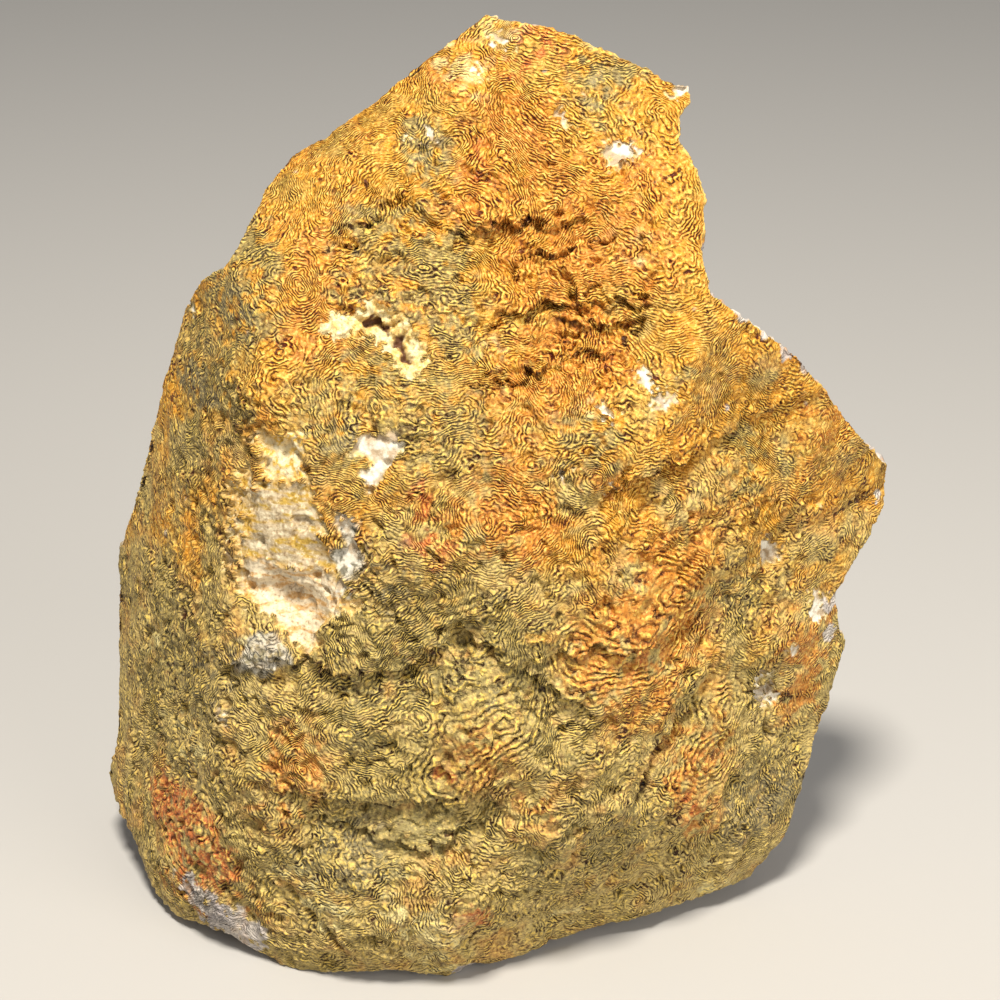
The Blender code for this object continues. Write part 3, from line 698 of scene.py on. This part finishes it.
class GEODE_OT_body(bpy.types.Operator):
    """Remeshes a copy of the solid and sculpts its rind and broken wall"""

    bl_idname = "geode.body"
    bl_label = "Rind and broken wall"

    def execute(self, context):
        values = settings()
        wall = merged_copy("broken_wall")
        apply(wall, "REMESH", mode="VOXEL", voxel_size=values.rind_voxel, use_smooth_shade=True)
        self.thin_out(wall)
        self.sculpt(wall, values)
        material = weathered_stone()
        for patch in self.split(wall):
            keep_whole_normals(patch)
            belongs(patch, material)
        return {"FINISHED"}

    def thin_out(self, wall):
        """Takes out what the lining hides and makes the broken wall coarser than the rind."""
        p, _, _, inward = measure(wall.data)
        hidden = (rim_share(p) < BODY_SHARE) & (inward > WALL_DEPTH)
        delete_faces(wall, face_all(wall.data, hidden))
        _, _, _, inward = measure(wall.data)
        deep = inward > THINNING_DEPTH
        group = wall.vertex_groups.new(name="thin_out")
        group.add(np.flatnonzero(deep).tolist(), 1.0, "REPLACE")
        fine = np.count_nonzero(~face_all(wall.data, deep))
        share = (2 * fine + WALL_TRIANGLES) / (2 * len(wall.data.polygons))
        apply(wall, "DECIMATE", ratio=min(1.0, share), vertex_group=group.name)
        wall.vertex_groups.clear()

    def sculpt(self, wall, values):
        """Gives the rind its wrinkles, ledges and spalls, and the wall its broken grain."""
        mesh = wall.data
        p, rind_y, facing, inward = measure(mesh)
        on_rind = smooth(1.7, 0.5, inward) * smooth(0.3, 0.6, facing)
        on_rind = neighbour_mean(on_rind[:, None], edge_ends(mesh), 8)[:, 0]
        p[:, 1] += on_rind * np.clip(rind_y - p[:, 1], -MOST_SHIFT, MOST_SHIFT)
        set_points(mesh, p)
        normals = neighbour_mean(vertex_normals(mesh), edge_ends(mesh), 5)
        normals /= np.linalg.norm(normals, axis=1, keepdims=True)
        fields = rind_fields(p)
        detail, amount, gap = rind_detail(p, fields, values)
        flakes = 1 - 2 * np.abs(layered(p, 6.5, 131, 2))
        broken = 0.30 * layered(p, 5.0, 135, 3) + 0.20 * flakes + 0.08 * waves(p, 1.4, 139)
        broken = np.clip(broken, -MOST_BROKEN, MOST_BROKEN)
        under = (rim_share(p) < LINING_SHARE) & (inward > WALL_DEPTH)
        broken = np.where(under, -0.5, broken) * smooth(0.0, 3.0, p[:, 2])
        calmer = 0.35 + 0.65 * smooth(1.0, 0.92, rim_share(p))
        height = on_rind * detail * calmer + (1 - on_rind) * broken
        set_points(mesh, p + normals * height[:, None])
        paint(mesh, p, fields, inward, amount * on_rind, gap)
        whole = mesh.attributes.new("whole_normal", "FLOAT_VECTOR", "POINT")
        whole.data.foreach_set("vector", vertex_normals(mesh).ravel())

    def split(self, wall):
        """Parts the rind from the wall, and the rind into four patches side by side."""
        inward = read(wall.data.attributes["inward"].data, "value")
        patches = [wall, split_off(wall, face_mean(wall.data, inward) < THINNING_DEPTH, "rind_left")]
        for name, share in (("rind_middle_left", 1 / 4), ("rind_middle_right", 1 / 3), ("rind_right", 1 / 2)):
            last = patches[-1]
            x = face_mean(last.data, coordinates(last.data)[:, 0])
            patches.append(split_off(last, x > np.quantile(x, share), name))
        return patches


class GEODE_OT_lining(bpy.types.Operator):
    """Takes the hollow's quartz points from a copy of the solid"""

    bl_idname = "geode.lining"
    bl_label = "Quartz lining"

    def execute(self, context):
        lining = merged_copy("quartz_lining")
        p, _, _, inward = measure(lining.data)
        outside = (rim_share(p) > LINING_SHARE) | (inward < WALL_DEPTH)
        delete_faces(lining, face_mean(lining.data, outside.astype(float)) > 0.5)
        p = to_mm(coordinates(lining.data))
        p[:, 1] -= LINING_TUCK * smooth(LINING_SHARE - 0.05, LINING_SHARE, rim_share(p))
        set_points(lining.data, p)
        select_only(lining)
        bpy.ops.object.shade_flat()
        belongs(lining, milky_quartz_points())
        return {"FINISHED"}


def quartz_point():
    """A six-sided quartz point along +Z of radius 1, its root at z = -1 and its shoulders at z = 0."""
    bpy.ops.mesh.primitive_cone_add(
        vertices=6, radius1=0.7, radius2=1.0, depth=1.0, location=(0, 0, -0.5), rotation=(0, 0, math.pi / 6),
        calc_uvs=False,
    )
    point = bpy.context.object
    bpy.ops.object.transform_apply(location=True, rotation=True, scale=True)
    edit_faces(point, np.array([face.normal.z > 0.9 for face in point.data.polygons]))
    bpy.ops.mesh.extrude_region_move(TRANSFORM_OT_translate={"value": (0.1, 0.0, 1.1)})
    bpy.ops.mesh.merge(type="CENTER")
    bpy.ops.object.mode_set(mode="OBJECT")
    return point


class GEODE_OT_points(bpy.types.Operator):
    """Sets small quartz points in the gaps between the large ones"""

    bl_idname = "geode.points"
    bl_label = "Small quartz points"

    def execute(self, context):
        lining = bpy.data.objects["quartz_lining"]
        surface = BVHTree.FromObject(lining, context.evaluated_depsgraph_get())
        chance = np.random.default_rng(23)
        x, z = (chance.uniform(*span, POINT_TRIES) for span in POINT_FIELD)
        near = rim_share(np.stack([x, 0 * x, z], axis=1)) < LINING_SHARE + 0.02
        found = []
        for px, pz in zip(x[near], z[near]):
            start = Vector((px + FACE_SHIFT[0], 90.0, pz + FACE_SHIFT[2])) * MM
            place, normal, _, _ = surface.ray_cast(start, Vector((0, -1, 0)))
            if place:
                found.append((place, normal))
        tree = KDTree(len(found))
        for index, (place, _) in enumerate(found):
            tree.insert(place, index)
        tree.balance()
        deselect_all()
        model = quartz_point()
        shape = coordinates(model.data).astype(float)
        copies = []
        for place, normal in found:
            around = [spot.y for spot, _, _ in tree.find_range(place, GAP_REACH * MM)]
            if len(copies) == settings().small_points or place.y > sum(around) / len(around):
                continue
            radius = MM * np.interp(chance.uniform() ** 2, (0, 1), POINT_RADII)
            axis = 0.5 * normal + Vector((0, 1, 0)) + Vector(chance.uniform(-0.35, 0.35, 3).tolist())
            turn = axis.to_track_quat("Z", "Y").to_matrix().to_4x4()
            spin = Matrix.Rotation(chance.uniform(0, 1), 4, "Z")
            stands = MM * chance.uniform(*POINT_HEIGHTS)
            local = radius * shape
            local[:, 2] = np.where(shape[:, 2] < -0.5, -POINT_ROOT * MM, stands + local[:, 2])
            piece = bpy.data.objects.new("small_quartz_points", model.data.copy())
            piece.data.vertices.foreach_set("co", local.ravel())
            piece.data.transform(Matrix.Translation(place) @ turn @ spin)
            context.scene.collection.objects.link(piece)
            copies.append(piece)
        bpy.data.objects.remove(model)
        if not copies:
            raise RuntimeError("the lining leaves no place for small quartz points")
        deselect_all()
        for piece in copies:
            piece.select_set(True)
        context.view_layer.objects.active = copies[0]
        bpy.ops.object.join()
        copies[0].data.name = copies[0].name
        belongs(copies[0], lining.data.materials[0])
        return {"FINISHED"}


def add(tree, kind, inputs=None, output=0, **options):
    """Adds a shader node with its settings and links, and gives the output that is used."""
    made = tree.nodes.new("ShaderNode" + kind)
    for key, value in options.items():
        setattr(made, key, value)
    for key, value in (inputs or {}).items():
        if isinstance(value, bpy.types.NodeSocket):
            tree.links.new(value, made.inputs[key])
        else:
            made.inputs[key].default_value = value
    return made.outputs[output]


def new_material(name, patterns=()):
    """A material, its node tree and shader, and its noises: name, lump size in mm, detail, distortion."""
    material = bpy.data.materials.new(name)
    material.use_nodes = True
    tree = material.node_tree
    noises = {}
    for pattern, size, detail, distortion in patterns:
        inputs = {"Scale": 1 / (size * MM), "Detail": detail, "Distortion": distortion}
        inputs["Vector"] = add(tree, "TexCoord", output="Object")
        noises[pattern] = add(tree, "TexNoise", inputs)
    return material, tree, tree.nodes["Principled BSDF"], noises


# The two ways that a coat of colour lies on what is under it.
COVER = "MIX"
STAIN = "MULTIPLY"


def coated(tree, ground, coats):
    """Lays coats over a ground colour. Each is its way, its colour and its strength: a value as it is,
    or a value with where it starts, where it is full and how strong it is then, times any others."""
    for way, colour, value, span, *times in coats:
        if span:
            inputs = dict(zip(("Value", "From Min", "From Max", "To Max"), (value, *span)))
            value = add(tree, "MapRange", inputs, interpolation_type="SMOOTHSTEP")
        for other in times:
            value = add(tree, "Math", {0: value, 1: other}, operation="MULTIPLY")
        low, high = (linear(c) if isinstance(c, str) else c for c in (ground, colour))
        ground = add(tree, "Mix", {0: value, 6: low, 7: high}, 2, data_type="RGBA", blend_type=way)
    return ground


def wrinkle_crests(tree, here, noises):
    """0 in the crevices and about 1 on the wrinkles' crests, frayed by fine noise."""
    shake = add(tree, "Math", {0: noises["shake"], 1: 0.9, 2: -0.45}, operation="MULTIPLY_ADD")
    crests = []
    for name in ("phase", "other_phase"):
        count = add(tree, "Math", {0: here[name], 1: shake}, operation="ADD")
        turn = add(tree, "Math", {0: count, 1: math.pi}, operation="MULTIPLY")
        wave = add(tree, "Math", {0: turn}, operation="SINE")
        crests.append(add(tree, "Math", {0: wave}, operation="ABSOLUTE"))
    crest = add(tree, "Mix", {0: here["choice"], 2: crests[0], 3: crests[1]})
    frayed = add(tree, "Math", {0: noises["fine"], 1: 0.9, 2: -0.45}, operation="MULTIPLY_ADD")
    return add(tree, "Math", {0: crest, 1: frayed}, operation="ADD")


def rind_colour(tree, here, noises, crest):
    """Ochre with patches of stain, painted highlights on the crests and ridges, brown grime and painted shade
    in the crevices, painted shade in the wide hollows, and grime and painted shadow under the ledges.
    """
    spans = {"patch": (0.24, 0.50), "uneven": (0.36, 0.60)}
    patch, uneven = (
        add(tree, "MapRange", {"Value": noises[name], "From Min": low, "From Max": high},
            interpolation_type="SMOOTHSTEP")
        for name, (low, high) in spans.items()
    )
    groove = add(tree, "Math", {0: here["ropes"], 1: 0.18, 2: crest}, operation="MULTIPLY_ADD")
    # Brown of the wrinkles' grooves: grime and painted shade.
    groove_grime_and_shade = coated(tree, "#5E3C1E", [(COVER, "#7C401A", here["gold"], None)])
    wrinkles, crevice, fleck, grit = here["wrinkles"], here["crevice"], noises["fleck"], noises["grit"]
    return coated(tree, "#B09A60", [
        (COVER, "#CA8D27", here["gold"], None),
        (COVER, "#C07C2C", noises["cloud"], (0.50, 0.68, 0.45)),
        (COVER, "#98874A", noises["cloud"], (0.52, 0.36, 0.40)),
        (COVER, "#BD7427", here["orange"], None, 0.82, patch),
        (COVER, "#8A7D4E", here["olive"], None, 0.90, patch),
        (COVER, "#BE612C", here["red"], None, 0.85, patch),
        (COVER, "#7D7356", here["grey"], None, 0.75, patch),
        (COVER, "#EADD9E", here["pale"], None, 0.65, patch),
        (COVER, "#EBC662", fleck, (0.56, 0.70, 0.22)),
        (STAIN, "#7A5A34", fleck, (0.45, 0.30, 0.45)),
        # Painted highlight: pale yellow on the wrinkles' crests.
        (COVER, "#F0CB5A", crest, (0.82, 1.08, 0.60), wrinkles),
        # Grime and painted shade: darker in the wrinkles' grooves, unevenly.
        (STAIN, groove_grime_and_shade, groove, (0.66, 0.20, 1.0), wrinkles, uneven),
        # Painted shade: darker where the surface lies in a fine hollow.
        (STAIN, "#4C2E18", crevice, (0.02, 0.10, 0.9)),
        # Grime in the cracks and painted shadow under the ledges' lips.
        (STAIN, "#68401F", here["gap"], (0.25, 0.80, 0.95)),
        (COVER, "#F3D478", grit, (0.54, 0.70, 0.45)),
        (STAIN, "#7A5A34", grit, (0.46, 0.30, 0.60)),
        # Painted highlight: paler on fine ridges and bumps.
        (COVER, "#F3D67E", crevice, (-0.03, -0.12, 0.45)),
        # Painted shade: darker in the wide hollows.
        (STAIN, "#866236", here["dip"], (0.12, 0.8, 0.60)),
    ])


def broken_quartz_colour(tree, here, noises):
    """Pale quartz with greyer bands along the rind, brown stains, and painted shade in its crevices."""
    depth = add(tree, "Math", {0: noises["cloud"], 1: 5.0, 2: here["inward"]}, operation="MULTIPLY_ADD")
    turn = add(tree, "Math", {0: depth, 1: 4.2}, operation="MULTIPLY")
    return coated(tree, "#D6CCBE", [
        (COVER, "#ABA29E", noises["cloud"], (0.35, 0.65, 1.0)),
        (COVER, "#8C838C", add(tree, "Math", {0: turn}, operation="SINE"), (0.2, 0.9, 0.30)),
        (COVER, "#BF8A4A", noises["rust"], (0.55, 0.72, 0.7)),
        # Painted shade: darker brown in the crevices.
        (COVER, "#6B4C2C", here["crevice"], (0.03, 0.2, 0.5)),
    ])


def spalled_colour(tree, here, noises, speckled):
    """The spalls from the top down: yellow streaks on cream, smoky bands and pinkish cream, then the
    yellow lips, the grit, and the speckled and white patches."""
    inputs = {"Rotation": (0, 0.6, 0), "Scale": (1.0, 1.0, 3.5)}
    inputs["Vector"] = add(tree, "TexCoord", output="Object")
    leaning = add(tree, "Mapping", inputs)
    drawn = add(tree, "TexNoise", {"Vector": leaning, "Scale": 210.0, "Detail": 5.0})
    milk = coated(tree, "#D8CBA6", [(COVER, "#D2A83E", noises["streak"], (0.48, 0.62, 1.0))])
    smoke = coated(tree, "#B5A282", [
        (COVER, "#B0903E", drawn, (0.46, 0.62, 1.0)),
        (COVER, "#C9BC9C", drawn, (0.44, 0.34, 1.0)),
    ])
    blush = coated(tree, "#D6C6A8", [(COVER, "#C4924A", drawn, (0.47, 0.62, 0.8))])
    frost = coated(tree, "#AE9A7E", [(COVER, "#DAD4C4", noises["frost"], (0.42, 0.60, 1.0))])
    return coated(tree, "#DACA98", [
        (COVER, smoke, here["smoke"], None),
        (COVER, blush, here["blush"], None),
        (COVER, milk, here["milk"], None),
        (COVER, "#CFA23C", here["lip"], None, 0.6),
        # Painted shade: darker brown in the crevices.
        (COVER, "#9A7440", here["crevice"], (0.04, 0.2, 0.45)),
        (COVER, "#EFE4C4", noises["grit"], (0.53, 0.68, 0.45)),
        (STAIN, "#8C6A3C", noises["grit"], (0.47, 0.30, 0.55)),
        (COVER, speckled, here["speckled"], None),
        (COVER, frost, here["frost"], None),
    ])


# The noises of the rind and the broken quartz: name, lump size in mm, detail and distortion. Real grit
# is finer than 0.7 mm and is drawn as coarse as the render can show.
STONE_NOISES = [
    ("shake", 1.3, 4.0, 0.0), ("fine", 0.7, 3.0, 0.0), ("fleck", 1.5, 5.0, 0.0), ("cloud", 9.0, 5.0, 0.5),
    ("patch", 3.0, 6.0, 0.3), ("uneven", 3.0, 4.0, 0.0), ("grit", 0.7, 2.0, 0.0), ("rust", 7.0, 5.0, 0.0),
    ("streak", 3.5, 5.0, 1.2), ("frost", 2.8, 5.0, 0.0), ("speck", 1.6, 4.0, 0.0), ("grain", 0.8, 5.0, 0.0),
]
# What paint() stores per vertex for the material.
PAINTED = (
    "crevice", "dip", "rind", "inward", "phase", "other_phase", "choice", "ropes", "wrinkles", "gap", "bare",
    "milk", "frost", "lip", "speckled", "smoke", "blush", "dark", "gold", "orange", "red", "olive", "grey",
    "pale",
)


def weathered_stone():
    """Chalcedony rind, stained by iron, on broken quartz: waxy ochre wrinkles with dark grime and painted
    shade in the crevices, and behind the rind paler, glossier quartz."""
    material, tree, shader, noises = new_material("iron_stained_chalcedony_rind_and_quartz", STONE_NOISES)
    here = {name: add(tree, "Attribute", output="Fac", attribute_name=name) for name in PAINTED}
    crest = wrinkle_crests(tree, here, noises)
    speckled = coated(tree, "#6F6A5A", [(COVER, "#D2CCBC", noises["speck"], (0.42, 0.58, 0.8))])
    skin = rind_colour(tree, here, noises, crest)
    skin = coated(tree, skin, [(COVER, speckled, here["speckled"], None, 0.8)])
    colour = coated(tree, broken_quartz_colour(tree, here, noises), [
        (COVER, skin, here["rind"], None),
        (COVER, spalled_colour(tree, here, noises, speckled), here["bare"], None),
        # Painted shade: the slits coloured dark brown for their depth.
        (COVER, "#5A3A26", here["dark"], None),
    ])
    tree.links.new(colour, shader.inputs["Base Color"])
    dull = add(tree, "Math", {0: here["rind"], 1: 0.12, 2: 0.48}, operation="MULTIPLY_ADD")
    tree.links.new(dull, shader.inputs["Roughness"])
    shader.inputs["Specular IOR Level"].default_value = 0.32
    grain = add(tree, "Bump", {"Strength": 0.8, "Distance": 0.0003, "Height": noises["grain"]})
    above = add(tree, "Math", {0: crest, 1: 0.0}, operation="MAXIMUM")
    rounded = add(tree, "Math", {0: above, 1: 0.6}, operation="POWER")
    ridges = add(tree, "Math", {0: rounded, 1: here["wrinkles"]}, operation="MULTIPLY")
    relief = add(tree, "Bump", {"Strength": 1.0, "Distance": 0.00055, "Height": ridges, "Normal": grain})
    tree.links.new(relief, shader.inputs["Normal"])
    return material


def milky_quartz_points():
    """Quartz points, clear over a milky base, so they shine and the light sinks in a little."""
    sizes = [("cloud", 6.0, 4.0, 0.4), ("rust", 16.0, 3.0, 0.0), ("growth", 1.2, 3.0, 0.0)]
    material, tree, shader, noises = new_material("milky_quartz_points", sizes)
    colour = coated(tree, "#E9E4DC", [
        (COVER, "#B9B1B4", noises["cloud"], (0.35, 0.7, 1.0)),
        (COVER, "#D2A765", noises["rust"], (0.55, 0.75, 0.5)),
    ])
    tree.links.new(colour, shader.inputs["Base Color"])
    shader.inputs["Roughness"].default_value = 0.13
    shader.inputs["IOR"].default_value = 1.54
    shader.inputs["Subsurface Weight"].default_value = 0.25
    shader.inputs["Subsurface Radius"].default_value = (0.9, 0.85, 0.8)
    shader.inputs["Subsurface Scale"].default_value = 0.003
    growth = add(tree, "Bump", {"Strength": 0.25, "Distance": 0.0001, "Height": noises["growth"]})
    tree.links.new(growth, shader.inputs["Normal"])
    return material


def area_light(name, place, target, size, power, colour):
    bpy.ops.object.light_add(type="AREA", location=place)
    light = bpy.context.object
    light.name = name
    light.data.shape = "DISK"
    light.data.size = size
    light.data.energy = power
    light.data.color = linear(colour)[:3]
    light.rotation_euler = (Vector(target) - Vector(place)).to_track_quat("-Z", "Y").to_euler()


class GEODE_OT_studio(bpy.types.Operator):
    """Sets the pale floor, the soft light from the upper left and the camera of the photo"""

    bl_idname = "geode.studio"
    bl_label = "Studio"

    def execute(self, context):
        deselect_all()
        bpy.ops.mesh.primitive_plane_add(size=6.0)
        floor = context.object
        floor.name = "floor"
        # Matt paper gives the eye an even pale ground with no gloss.
        material, _, shader, _ = new_material("matt_paper")
        shader.inputs["Base Color"].default_value = (*settings().floor_colour, 1.0)
        shader.inputs["Roughness"].default_value = 0.9
        floor.data.materials.append(material)
        middle = (0.0, 0.0, 0.08)
        area_light("key", (-0.03, -0.42, 1.05), middle, 0.22, 19.5, "#FFF8EC")
        area_light("fill", (0.8, -0.8, 0.5), middle, 0.8, 7.5, "#FFFAF2")
        world = bpy.data.worlds.new("soft_room")
        world.use_nodes = True
        background = world.node_tree.nodes["Background"]
        background.inputs["Color"].default_value = linear("#F2F2F2")
        background.inputs["Strength"].default_value = 0.32
        context.scene.world = world
        context.scene.view_settings.view_transform = "Standard"
        turn = math.radians(CAMERA_RISE)
        aim = Vector((FACE_SHIFT[0], FACE_SHIFT[1] - 10.0, 95.0)) * MM
        place = aim + CAMERA_DISTANCE * Vector((0, -math.cos(turn), math.sin(turn)))
        bpy.ops.object.camera_add(location=place, rotation=(math.pi / 2 - turn, 0, 0))
        camera = context.object
        camera.name = "photo_camera"
        camera.data.lens = CAMERA_LENS
        context.scene.camera = camera
        return {"FINISHED"}


class GEODE_PT_panel(bpy.types.Panel):
    """Lists the stone's sizes and its operators"""

    bl_label = "Geode"
    bl_idname = "GEODE_PT_panel"
    bl_space_type = "VIEW_3D"
    bl_region_type = "UI"
    bl_category = "Geode"

    def draw(self, context):
        for name in GeodeSettings.__annotations__:
            self.layout.prop(context.scene.geode, name)
        for operator in OPERATORS:
            self.layout.operator(operator.bl_idname)


OPERATORS = (GEODE_OT_body, GEODE_OT_lining, GEODE_OT_points, GEODE_OT_studio)


def register():
    for part in (GeodeSettings, *OPERATORS, GEODE_PT_panel):
        bpy.utils.register_class(part)
    bpy.types.Scene.geode = PointerProperty(type=GeodeSettings)


def unregister():
    del bpy.types.Scene.geode
    for part in (GEODE_PT_panel, *reversed(OPERATORS), GeodeSettings):
        bpy.utils.unregister_class(part)


def main():
    register()
    bpy.ops.geode.body()
    bpy.ops.geode.lining()
    bpy.ops.geode.points()
    bpy.ops.geode.studio()


if __name__ == "__main__":
    main()
